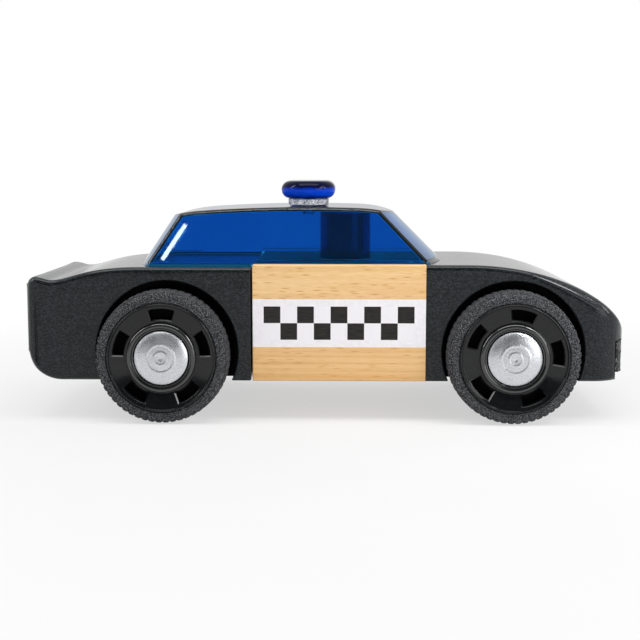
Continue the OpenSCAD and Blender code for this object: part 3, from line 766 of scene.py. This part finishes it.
def grille():
    """The strip in the step across the nose, with a coarse moulded stipple on its outer faces."""
    front = sorted((p for p in plan_outline() if p[0] > GRILLE_X), key=lambda p: p[1])
    run = [(GRILLE_X, front[0][1])]
    for a, b in zip(front, front[1:]):
        pieces = max(1, round(math.dist(a, b) / GRILLE_STEP))
        run += [(a[0] + (b[0] - a[0]) * i / pieces, a[1] + (b[1] - a[1]) * i / pieces) for i in range(pieces)]
    run += [front[-1], (GRILLE_X, front[-1][1])]
    rows = []
    for j in range(GRILLE_ROWS + 1):
        z = GRILLE_LOW.z + (GRILLE_HIGH.z - GRILLE_LOW.z) * j / GRILLE_ROWS
        row = []
        for i, (x, y) in enumerate(run):
            edge = i in (0, len(run) - 1) or j in (0, GRILLE_ROWS)
            pit = 0.0 if edge else STIPPLE_DEPTH * (0.5 + 0.5 * noise.noise(Vector((x, y, z)) * STIPPLE_SCALE))
            inward = STIPPLE_SIDE * math.copysign(1, y) if abs(y) > SIDE_Y - 3 else 0.0
            row.append((x - pit, y - pit * inward, z))
        rows.append(row)
    finish_piece("grille_strip", stacked(rows), GRILLE_BLACK, "front_half", ["front_grille"], 60)


# Canopy
CANOPY_R, CANOPY_WALL = 1.0, 0.85
ROOF_DROP, REAR_LEAN, FRONT_LEAN = 1.0, 5.9, 9.3
END_DROP, END_REACH = 0.2, 4.0
REAR_BOW, FRONT_BOW, ROOF_BOW = 2.3, 2.8, 1.1
ROOF_WIDTH, CANOPY_WIDTH = 31.6, 36.8
CANOPY_SETBACK, CANOPY_LENGTH = 21.5, 61.6
CANOPY_BACK_X = TAIL_X + CANOPY_SETBACK
CANOPY_FRONT_X = CANOPY_BACK_X + CANOPY_LENGTH
LIGHTBAR_X = (LENS_LOW.x + LENS_HIGH.x) / 2
CANOPY_RISE = ROOF_Z - TOP_Z - CANOPY_R
SKIRT_END_X = REAR_FACE_X - 0.15


def flare(lean):
    """How far a leaning wall's outer face lies beyond its middle at the foot."""
    return CANOPY_R * math.hypot(lean, CANOPY_RISE) / CANOPY_RISE


BASE_BACK_X = CANOPY_BACK_X + REAR_BOW + flare(REAR_LEAN)
BASE_FRONT_X = CANOPY_FRONT_X - FRONT_BOW - flare(FRONT_LEAN)
ROOF_BACK_X, ROOF_FRONT_X = BASE_BACK_X + REAR_LEAN, BASE_FRONT_X - FRONT_LEAN
ROOF_HALF = ROOF_WIDTH / 2 - CANOPY_R
BASE_HALF = CANOPY_WIDTH / 2 - flare((CANOPY_WIDTH - ROOF_WIDTH) / 2)
ROOF_REACH = max(LIGHTBAR_X - ROOF_BACK_X, ROOF_FRONT_X - LIGHTBAR_X)


def roof_rise(x):
    past = max(ROOF_BACK_X + END_REACH - x, x - ROOF_FRONT_X + END_REACH, 0.0) / END_REACH
    return ROOF_Z - CANOPY_R - ROOF_DROP * ((x - LIGHTBAR_X) / ROOF_REACH) ** 2 - END_DROP * past**2


def roof_normal(x):
    step = 0.01
    return Vector((roof_rise(x - step) - roof_rise(x + step), 0, 2 * step)).normalized()


def roof_half(x):
    """Half the roof's width at its ends and between them, so that each side is one plane."""
    return BASE_HALF - (BASE_HALF - ROOF_HALF) * (roof_rise(x) - TOP_Z) / CANOPY_RISE


def side_wall(side):
    """A side of the canopy: the roof and foot points for a share of its length."""
    def at(u):
        roof_x = ROOF_BACK_X + (ROOF_FRONT_X - ROOF_BACK_X) * u
        base_x = BASE_BACK_X + (BASE_FRONT_X - BASE_BACK_X) * u
        roof = Vector((roof_x, side * roof_half(roof_x), roof_rise(roof_x)))
        return roof, Vector((base_x, side * BASE_HALF, TOP_Z))

    return at


def end_wall(roof_x, base_x, bow):
    """A bowed end of the canopy: the roof and foot points for a place from -1 to 1 across the car."""
    def at(s):
        out = bow * (1 - s * s)
        roof_at = roof_x + out * ROOF_BOW
        roof = Vector((roof_at, s * roof_half(roof_x), roof_rise(roof_at)))
        return roof, Vector((base_x + out, s * BASE_HALF, TOP_Z))

    return at


def wall_columns(at, shares, turn):
    """Columns of a wall as (roof centre, base centre, outward normal); turn is the way round the plan."""
    columns = []
    for share in shares:
        roof, base = at(share)
        ahead = sum(at(share + turn * 0.01), Vector()) - sum(at(share - turn * 0.01), Vector())
        columns.append((roof, base, ahead.cross(roof - base).normalized()))
    return columns


def canopy_columns():
    """All round the shell, with two columns close together where the rim steps down to the deck."""
    steps, close = 48, 4e-4
    seam_share = (SKIRT_END_X - BASE_BACK_X) / (BASE_FRONT_X - BASE_BACK_X)
    shares = sorted({i / steps for i in range(steps + 1)} | {seam_share - close, seam_share + close})
    across = [-1 + 2 * i / 20 for i in range(21)]
    walls = [
        wall_columns(side_wall(-1), shares, 1),
        wall_columns(end_wall(ROOF_FRONT_X, BASE_FRONT_X, FRONT_BOW), across, 1),
        wall_columns(side_wall(1), shares[::-1], -1),
        wall_columns(end_wall(ROOF_BACK_X, BASE_BACK_X, -REAR_BOW), across[::-1], -1),
    ]
    columns = []
    corner_steps = 10
    for wall, following in zip(walls, walls[1:] + walls[:1]):
        columns += wall
        roof, base, normal = wall[-1]
        columns += [(roof, base, normal.slerp(following[0][2], i / corner_steps)) for i in range(1, corner_steps)]
    return columns


# Heights above the rim and depths there of the fine groove round the canopy's foot
SKIRT_ROWS = ((0.0, 0.0), (0.38, 0.0), (0.44, 0.14), (0.62, 0.14), (0.7, 0.0), (0.9, 0.0))
RIM_GAP, INNER_SPREAD = 0.05, 0.7
ROOF_SHARES = (0.9, 0.75, 0.55, 0.35, 0.15)


def canopy_skin(bm, r, inner):
    """Loops of one skin of the shell from the rim up over the roof, ending in the middle of the roof."""
    columns = canopy_columns()
    up_steps, arc_steps = 14, 8
    lines = []
    for roof, base, normal in columns:
        reach = roof - base
        rim_x = (base + normal * r).x
        rim_z = (TOP_Z if rim_x > SKIRT_END_X else DECK_Z) + RIM_GAP
        start = (rim_z - base.z - r * normal.z) / reach.z
        rises = [start + (1 - start) * (INNER_SPREAD if inner else 1.0) * h / reach.z for h, _ in SKIRT_ROWS]
        dents = [0.0 if inner else dent for _, dent in SKIRT_ROWS]
        line = [base + reach * rise + normal * (r - dent) for rise, dent in zip(rises, dents)]
        last = rises[-1]
        line += [base + reach * (last + (1 - last) * i / up_steps) + normal * r for i in range(1, up_steps + 1)]
        over = roof_normal(roof.x)
        line += [roof + normal.slerp(over, i / arc_steps) * r for i in range(1, arc_steps + 1)]
        for share in ROOF_SHARES:
            x, y = LIGHTBAR_X + (roof.x - LIGHTBAR_X) * share, roof.y * share
            line.append(Vector((x, y, roof_rise(x))) + roof_normal(x) * r)
        lines.append([bm.verts.new(p) for p in line])
    middle = bm.verts.new((LIGHTBAR_X, 0, roof_rise(LIGHTBAR_X) + r))
    for a, b in zip(lines, lines[1:] + lines[:1]):
        for k in range(len(a) - 1):
            corners = (a[k], b[k], b[k + 1], a[k + 1])
            bm.faces.new(corners[::-1] if inner else corners)
        bm.faces.new((a[-1], middle, b[-1]) if inner else (a[-1], b[-1], middle))
    return [line[0] for line in lines]


def canopy():
    bm = bmesh.new()
    outer = canopy_skin(bm, CANOPY_R, False)
    inner = canopy_skin(bm, CANOPY_R - CANOPY_WALL, True)
    bridge(bm, inner, outer)
    holes = [disc((LIGHTBAR_X, y), PEG_R + PEG_SLIP, 48) for y in (-PEG_Y, PEG_Y)]
    bm = cut(bm, [prism(hole, TOP_Z + 4 * PAST, ROOF_Z + 2 * PAST, along_z) for hole in holes])
    finish_piece("canopy_shell", bm, BLUE, "canopy_set", ["canopy"], 50)
    top, foot = roof_rise(POST_X) + CANOPY_R - CANOPY_WALL - NEAR, TOP_Z - POST_PLUG
    inside, ceiling = POST_R - POST_WALL, top - CANOPY_WALL
    section = [(inside, foot), (POST_R - POST_EASE, foot), (POST_R, foot + POST_EASE), (POST_R, top), (0, top)]
    section += [(0, ceiling)] + arc((inside - 0.5, ceiling - 0.5), 0.5, 90, 0, 5)
    bm = turned(section, 96, lambda r, h, a: (POST_X + r * math.cos(a), r * math.sin(a), h))
    finish_piece("canopy_post", bm, POST_BLUE, "canopy_set", ["canopy"], 40)


# Light bar; the foot's lower rows are insets and heights above the roof
FOOT_EDGE_R, LENS_SEAT = 0.3, 0.015
FOOT_ROWS = ((0.6, 0.01), (0.1, 0.25))


def racetrack(size, inset, z):
    """A loop round a bar with half-round ends across the car, drawn in by inset."""
    r, run, steps = size.x / 2 - inset, (size.y - size.x) / 2, 28
    line = arc((LIGHTBAR_X, run), r, 0, 180, steps) + arc((LIGHTBAR_X, -run), r, 180, 360, steps)
    return [(x, y, z) for x, y in line]


def light_bar():
    """The lens with its half-round edge, and the clear foot under it with its two pegs."""
    size = LENS_HIGH - LENS_LOW
    half, middle = size.z / 2, (LENS_HIGH.z + LENS_LOW.z) / 2 + LENS_SEAT
    rise = (half - LENS_SEAT) / half
    bm = stacked([racetrack(size, half - x, middle + rise * z) for x, z in arc((0, 0), half, -90, 90, 28)])
    finish_piece("lightbar_lens_form", bm, DEEP_BLUE, "canopy_set", ["lightbar_lens"], 60)
    size = BASE_HIGH - BASE_LOW
    edge = arc((0, 0), FOOT_EDGE_R, 0, 90, 6)
    layers = [racetrack(size, inset, ROOF_Z + up) for inset, up in FOOT_ROWS]
    layers += [racetrack(size, FOOT_EDGE_R - x, BASE_HIGH.z - FOOT_EDGE_R + z) for x, z in edge]
    pegs = [disc((LIGHTBAR_X, y), PEG_R, 48) for y in (-PEG_Y, PEG_Y)]
    bm = cut(stacked(layers), [prism(peg, BASE_LOW.z, ROOF_Z + PEG_UP, along_z) for peg in pegs], "UNION")
    finish_piece("lightbar_foot", bm, CLEAR, "canopy_set", ["lightbar_base"], 40)


# Wheels
DISH, WEB, SEAT_DEPTH, LIP_W, LIP_H = 1.3, 2.6, 1.9, 1.2, 0.45
SEAT_R, DRUM_R, BOSS_R, BORE_R = RIM_R - LIP_H, RIM_R - 0.85, 3.9, AXLE_R + 0.05
WINDOWS, WINDOW_OUT_R, WINDOW_IN_R, WINDOW_ANGLE, WINDOW_FLOOR, WINDOW_EASE = 5, 9.5, 7.6, 30, 0.6, 0.26
FACE_R, FACE_STEP, FACE_DEPTH, FACE_EDGE_R, FACE_EDGE_W = RIM_R + 0.33, 0.34, 0.95, 0.22, 0.38
COLLAR_EDGE_R, COLLAR_DROP, BEAD_R, BEAD_OUT, CAP_SLIP = 0.6, 0.62, 0.26, 0.45, 0.04
RETAINER_R, RETAINER_FLOOR = 2.9, 1.8


def wheel_place(x, side):
    return lambda r, h, a: (x + r * math.cos(a), side * (HUB_Y + h), AXLE_Z + r * math.sin(a))


def hub_section():
    """(radius, height) from the bore out over the drum, round the face's lip and in over the collar to the bore."""
    back, seat = HUB_W - DISH - WEB, HUB_W - SEAT_DEPTH
    pocket, lip = seat - RETAINER_FLOOR, HUB_W - FACE_EDGE_W
    rim = [(RIM_R, HUB_W - LIP_W), (RIM_R, lip), (FACE_R - 0.05, lip), (FACE_R, lip + 0.05)]
    rim += arc((FACE_R - FACE_EDGE_R, HUB_W - FACE_EDGE_R), FACE_EDGE_R, 0, 110, 8)
    dish = [(FACE_R - 2 * FACE_EDGE_R, HUB_W - FACE_STEP), (FACE_R - 0.56, HUB_W - FACE_STEP - 0.04)]
    face_in = HUB_W - FACE_DEPTH
    collar = [(COLLAR_R + 0.25, face_in), (COLLAR_R + 0.05, face_in + 0.06)]
    collar += arc((COLLAR_R - COLLAR_EDGE_R, HUB_W - COLLAR_DROP), COLLAR_EDGE_R, 0, 125, 9)
    collar += arc((CAP_R + BEAD_OUT, HUB_W - COLLAR_DROP), BEAD_R, 40, 170, 6)
    collar += [(CAP_R + CAP_SLIP, HUB_W - 1.1), (CAP_R + CAP_SLIP, seat)]
    inside = [(RETAINER_R, seat), (RETAINER_R, pocket), (BORE_R, pocket)]
    outside = [(BORE_R, 0), (BOSS_R, 0), (BOSS_R, back), (DRUM_R, back), (DRUM_R, 0), (RIM_R - 0.2, 0), (RIM_R, 0.2)]
    outside += [(RIM_R, LIP_W), (SEAT_R, LIP_W), (SEAT_R, HUB_W - LIP_W)]
    return outside + rim + dish + collar + inside


def hub(name, x, side, body, turn):
    """A hub with its windows cut in; turn is where the first window stands."""
    def window(middle):
        start, end = middle - WINDOW_ANGLE / 2, middle + WINDOW_ANGLE / 2
        outline = arc((0, 0), WINDOW_OUT_R, start, end, 7) + arc((0, 0), WINDOW_IN_R, end, start, 7)
        floor = HUB_W - DISH - WEB + WINDOW_FLOOR
        return prism(outline, floor, HUB_W + PAST, lambda u, v, w: (x + u, side * (HUB_Y + w), AXLE_Z + v))

    def at_window(v):
        r, h = math.hypot(v.co.x - x, v.co.z - AXLE_Z), side * v.co.y - HUB_Y
        return WINDOW_IN_R - NEAR < r < WINDOW_OUT_R + NEAR and h > HUB_W - FACE_DEPTH - 0.05

    bm = turned(hub_section(), 60, wheel_place(x, side), math.radians(turn))
    bm = cut(bm, [window(turn + 360 * i / WINDOWS) for i in range(WINDOWS)])
    bm = eased(bm, WINDOW_EASE, lambda e: float(all(at_window(v) for v in e.verts)), 1)
    finish_piece(f"{name}_form", bm, HUB_BLACK, body, [name], 40)


LUGS, LUG_SAMPLES, LUG_DEPTH = 56, 8, 0.22
TYRE_INSET, CROWN_DROP, SHOULDER_R, BEAD_GROOVE = 0.4, 0.2, 0.9, 0.3
CRUMB_DEPTH, CRUMB_SCALE, CRUMB_SHIFT = 0.05, 1.3, 31


def tyre_section():
    """(radius, height, how much of the lug's cut reaches this point) from the inner bead round to the outer one."""
    low, middle, crown = TYRE_INSET, HUB_W / 2, TYRE_R - CROWN_DROP
    groove = low + BEAD_GROOVE
    wall_low = [(SEAT_R, LIP_W, 0), (RIM_R, LIP_W, 0), (RIM_R + NEAR, groove, 0)]
    wall_low += [(FACE_R + 0.16, groove, 0), (FACE_R + BEAD_GROOVE, low, 0)]
    round_over = arc((crown - SHOULDER_R, low + SHOULDER_R), SHOULDER_R, 270, 360, 10)
    outer = [(r, h, max(0.0, math.sin(math.radians(9 * i))) ** 0.5) for i, (r, h) in enumerate(round_over)]
    outer[6] = (outer[6][0] - 0.14, outer[6][1] + 0.1, outer[6][2])
    tread = [(crown + 0.04, low + 1.6, 0.9), (crown + 0.08, low + 2.4, 0.75), (crown + 0.17, middle - 0.6, 0.7)]
    half = wall_low + outer + tread
    back = [(r, HUB_W - h, share) for r, h, share in reversed(half)]
    return half + [(TYRE_R, middle, 0.7)] + back


def crumbs(r, h, a, phase):
    """How far the rubber's crumbled skin sinks in at a point; none where it sits on the hub."""
    if r <= RIM_R + 0.05:
        return 0.0
    spot = Vector((math.cos(a) * r, h, math.sin(a) * r)) * CRUMB_SCALE
    return CRUMB_DEPTH * abs(noise.noise(spot + Vector((0, phase * CRUMB_SHIFT, 0))))


def tyre(name, x, side, body, phase):
    """A tyre with fine lugs round it; phase shifts the lugs and the crumbs."""
    place = wheel_place(x, side)
    steps = LUGS * LUG_SAMPLES
    bm = bmesh.new()
    rings = []
    for r, h, share in tyre_section():
        ring = []
        for i in range(steps):
            a = 2 * math.pi * i / steps
            lug = max(0.0, math.cos(2 * math.pi * (i / LUG_SAMPLES + phase))) ** 1.5
            ring.append(bm.verts.new(place(r - LUG_DEPTH * share * lug - crumbs(r, h, a, phase), h, a)))
        rings.append(ring)
    for low, high in zip(rings, rings[1:] + rings[:1]):
        bridge(bm, low, high)
    finish_piece(f"{name}_form", bm, RUBBER, body, [name], 55)


# Radius, spread and height of the turned rings on the caps; the last is the dimple in the middle
CAP_RINGS = ((2.75, 0.2, 0.09), (1.25, 0.18, 0.07), (0.0, 0.4, -0.1))
CAP_EDGE, DOME_H, DOME_RISE, DOME_STEPS = 0.15, 0.95, 0.9, 64


def cap(name, x, side, body):
    """A domed cap with a few turned rings and a dimple in the middle."""
    seat, rim, edge_r = HUB_W - SEAT_DEPTH, CAP_HIGH.y - HUB_Y - DOME_H, CAP_R - NEAR
    section = [(0, seat), (CAP_R - CAP_EDGE, seat), (edge_r, seat + CAP_EDGE), (edge_r, rim)]
    for i in range(1, DOME_STEPS):
        r = edge_r * (1 - i / DOME_STEPS)
        rise = DOME_RISE * (1 - (r / CAP_R) ** 3.2) ** 0.8 - (DOME_H - DOME_RISE)
        rise += sum(height * math.exp(-(((r - at) / spread) ** 2)) for at, spread, height in CAP_RINGS)
        section.append((r, rim + rise))
    section.append((0, rim + DOME_H - 0.2))
    bm = turned(section, 128, wheel_place(x, side))
    finish_piece(f"{name}_form", bm, SILVER, body, [name], 50)


# Where the first window of the hubs at each end stands in the photograph, in degrees
FRONT_TURN, REAR_TURN = 79.2, 90.0


def wheels():
    for end, x, turn in (("front", FRONT_AXLE_X, FRONT_TURN), ("rear", REAR_AXLE_X, REAR_TURN)):
        for hand, side in (("right", -1), ("left", 1)):
            body = f"wheel_{end}_{hand}"
            hub(f"hub_{end}_{hand}", x, side, body, turn)
            tyre(f"tyre_{end}_{hand}", x, side, body, turn / 90)
            cap(f"cap_{end}_{hand}", x, side, body)


def dress_cad_nodes():
    """Better materials on the CAD nodes that stay."""
    kinds = (
        (("coupling_plug", "coupling_socket"), GREY),
        (("plug_screws", "socket_screws", "front_axle", "rear_axle", "front_retainers", "rear_retainers"), STEEL),
        (("front_washers", "rear_washers"), GLOSS_BLACK),
    )
    for names, material in kinds:
        for name in names:
            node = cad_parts[name]
            if not node.material_slots:
                node.data.materials.append(material)
            for place in node.material_slots:
                place.material = material


# Stage: the floor is FLOOR_WHITE to the eye as far as FLOOR_NEAR, and all white from FLOOR_FAR on
FLOOR_HALF, FLOOR_WHITE, FLOOR_NEAR, FLOOR_FAR, FLOOR_SPREAD = 4000, 0.58, 45.0, 180.0, (1.25, 0.95, 1.0)
WORLD_LIGHT, GLOSS_FRONT, GLOSS_ROUND, FRONT_FROM, FRONT_TO = 0.42, 0.06, 0.72, -0.8, -0.35


def add_floor():
    """A pale floor that keeps the shadow; to the eye it is part white, and all white far from the object."""
    bm = bmesh.new()
    outline = rectangle((-FLOOR_HALF, -FLOOR_HALF), (FLOOR_HALF, FLOOR_HALF))
    bm.faces.new([bm.verts.new((x, y, 0)) for x, y in outline])
    floor = as_object(bm, "floor")
    floor.data.transform(Matrix.Scale(MM, 4))
    g = Graph("pale_floor", Roughness=0.9, Specular_IOR_Level=0.1)
    g.set(Base_Color=g.drift(g.noise(0.02, 2.0), (0.61, 0.61, 0.615, 1.0), (0.64, 0.64, 0.64, 1.0)))
    away = g.add("ShaderNodeVectorMath", {0: g.scaled(g.place, FLOOR_SPREAD)}, operation="LENGTH").outputs["Value"]
    white = g.ranged(away, FLOOR_NEAR, FLOOR_FAR, FLOOR_WHITE)
    share = g.times(g.on_rays("Camera", "Glossy", "Transmission"), white)
    glow = g.add("ShaderNodeEmission", {"Color": WHITE, "Strength": 1.0})
    both = g.add("ShaderNodeMixShader", {0: share, 1: g.shader.outputs[0], 2: glow.outputs[0]})
    g.feed(g.tree.nodes["Material Output"].inputs["Surface"], both.outputs[0])
    floor.data.materials.append(g.material)


def add_world():
    """White to the eye and through glass; in gloss it is white all round but for a dark studio at the front."""
    world = bpy.data.worlds.new("studio")
    bpy.context.scene.world = world
    world.use_nodes = True
    w = Nodes(world.node_tree)
    facing = w.add("ShaderNodeSeparateXYZ", {0: w.add("ShaderNodeTexCoord").outputs["Generated"]}).outputs["Y"]
    gloss = w.ranged(facing, FRONT_FROM, FRONT_TO, GLOSS_FRONT, GLOSS_ROUND)
    light = w.add("ShaderNodeMix", {0: w.on_rays("Glossy"), 2: WORLD_LIGHT, 3: gloss}).outputs[0]
    strength = w.add("ShaderNodeMix", {0: w.on_rays("Camera", "Transmission"), 2: light, 3: 1.0}).outputs[0]
    background = w.tree.nodes["Background"].inputs
    w.feed(background["Color"], WHITE)
    w.feed(background["Strength"], strength)


def lamp(name, place, aim, size, power, in_gloss=True, turn=0.0):
    data = bpy.data.lights.new(name, "AREA")
    data.shape, data.size, data.size_y = "RECTANGLE", size[0] * MM, size[1] * MM
    data.energy = power
    made = placed(name, data)
    made.location = Vector(place) * MM
    facing = (Vector(aim) - Vector(place)).to_track_quat("-Z", "Y").to_matrix()
    made.rotation_euler = (facing @ Matrix.Rotation(turn, 3, "Z")).to_euler()
    made.visible_glossy = in_gloss


def camera():
    """The photograph's viewpoint: where the camera stands, its turn, tilt and roll, and its focal length in pixels."""
    place, yaw, pitch, roll, focal = (3.89, -274.98, 50.77), 0.0195, 0.1198, 0.0004, 1300.0
    sensor, photo_width = 36.0, 640
    data = bpy.data.cameras.new("camera")
    data.sensor_width, data.lens = sensor, sensor * focal / photo_width
    data.clip_start, data.clip_end = 0.01, 20
    made = placed("camera", data)
    made.matrix_world = (
        Matrix.Translation(Vector(place) * MM)
        @ Matrix.Rotation(yaw, 4, "Z")
        @ Matrix.Rotation(math.pi / 2 - pitch, 4, "X")
        @ Matrix.Rotation(roll, 4, "Z")
    )
    bpy.context.scene.camera = made


rear_block()
front_blocks()
grille()
canopy()
light_bar()
wheels()
dress_cad_nodes()
add_floor()
add_world()
lamp("key", (-220, -520, 620), (0, 0, 20), (520, 520), 0.4, in_gloss=False)
lamp("top", (0, -140, 560), (0, -20, 15), (560, 280), 1.9)
lamp("left", (-415, -90, 290), (-20, -26, 15), (70, 300), 0.75)
lamp("right", (420, -100, 250), (20, -26, 15), (70, 260), 0.5)
lamp("side", (330, -330, 110), (40, -20, 18), (240, 240), 0.45)
lamp("edge", (92, -63, 93), (49, -20.7, 25.8), (24, 24), 0.036)
lamp("strip", (-86.4, -403.7, 215), (-30, -17.3, 35.3), (2.1, 22.3), 0.0034, turn=-0.53)
camera()
bpy.context.scene.view_settings.view_transform = "Standard"
